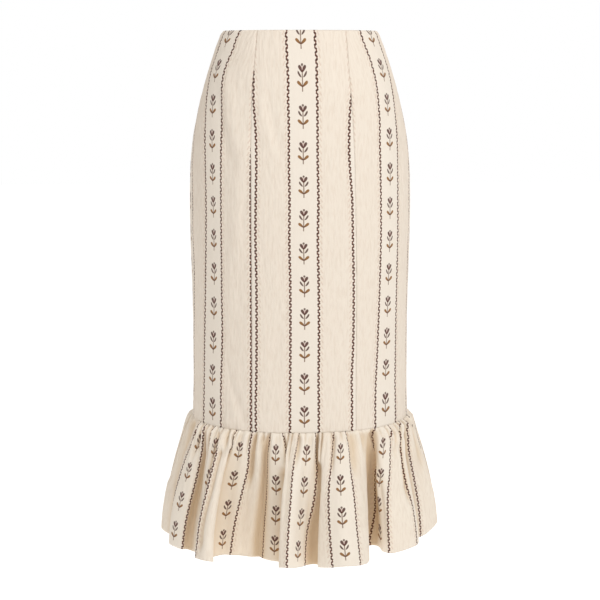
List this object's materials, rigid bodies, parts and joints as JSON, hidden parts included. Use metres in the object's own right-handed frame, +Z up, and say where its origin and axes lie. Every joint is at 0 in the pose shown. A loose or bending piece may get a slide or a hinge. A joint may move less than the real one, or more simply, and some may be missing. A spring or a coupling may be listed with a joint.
{
  "type": "linen skirt with a gathered hem flounce, worn form",
  "caption": "Midi linen skirt in its worn, filled-out form: shaped panel body, gathered hem flounce, concealed zip at the centre back with a swinging pull.",
  "frame": {"origin": "middle of the waist opening, level with the top edge, on the wearer's vertical line", "axes": "+Z up along the skirt towards the waist, -Y the way the wearer faces, +X towards the right as seen from the front"},
  "size_m": [0.451, 0.4155, 0.7991],
  "materials": {
    "patterned_linen": "matte cream linen with a crinkled weave, woven stripes and small flower columns",
    "flounce_linen": "matte cream linen, the same cloth, gathered",
    "cream_enamel": "smooth cream enamel"
  },
  "bodies": {
    "skirt": {"front_centre": "patterned_linen", "front_side_left": "patterned_linen", "front_side_right": "patterned_linen", "back_left": "patterned_linen", "back_right": "patterned_linen", "flounce_front": "flounce_linen", "flounce_back": "flounce_linen", "zip_slider": "cream_enamel"},
    "pull": {"zip_pull": "cream_enamel"}
  },
  "joints": [
    {"name": "pull_swing", "type": "hinge", "parent": "skirt", "child": "pull", "pos_m": [0, 0.09415, -0.00797], "axis": [1, 0, 0], "range_deg": [0, 150]}
  ]
}
